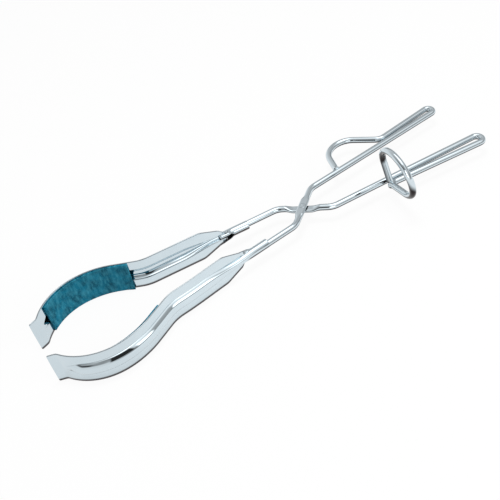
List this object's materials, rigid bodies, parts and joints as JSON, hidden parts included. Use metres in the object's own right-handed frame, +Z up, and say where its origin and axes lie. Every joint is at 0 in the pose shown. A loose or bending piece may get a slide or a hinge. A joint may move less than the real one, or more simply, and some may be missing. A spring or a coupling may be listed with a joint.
{
  "type": "beaker tongs",
  "caption": "Scissor-type beaker tongs: crossed bent-wire arms on a rivet, bowed sheet jaws with glued fibre gaskets, a finger loop and a thumb ring.",
  "frame": {"origin": "on the surface the tongs lie on, under the middle of the whole tool", "axes": "+X along the tool from the jaws to the handles, +Y the way the finger-loop handle opens, +Z up along the rivet"},
  "size_m": [0.3504, 0.1055, 0.0539],
  "materials": {
    "wire_steel": "polished stainless steel",
    "sheet_steel": "polished stainless steel",
    "rivet_steel": "polished stainless steel",
    "gasket_fibre": "matt compressed fibre gasket sheet"
  },
  "bodies": {
    "finger_side": {"finger_arm": "wire_steel", "left_jaw": "sheet_steel", "left_pad": "gasket_fibre", "pivot_rivet": "rivet_steel"},
    "thumb_side": {"thumb_arm": "wire_steel", "right_jaw": "sheet_steel", "right_pad": "gasket_fibre"}
  },
  "joints": [
    {"name": "pivot_hinge", "type": "hinge", "parent": "finger_side", "child": "thumb_side", "pos_m": [0.0287, 0.00606, 0.0124], "axis": [0, 0, -1], "range_deg": [-8.6, 30]}
  ]
}
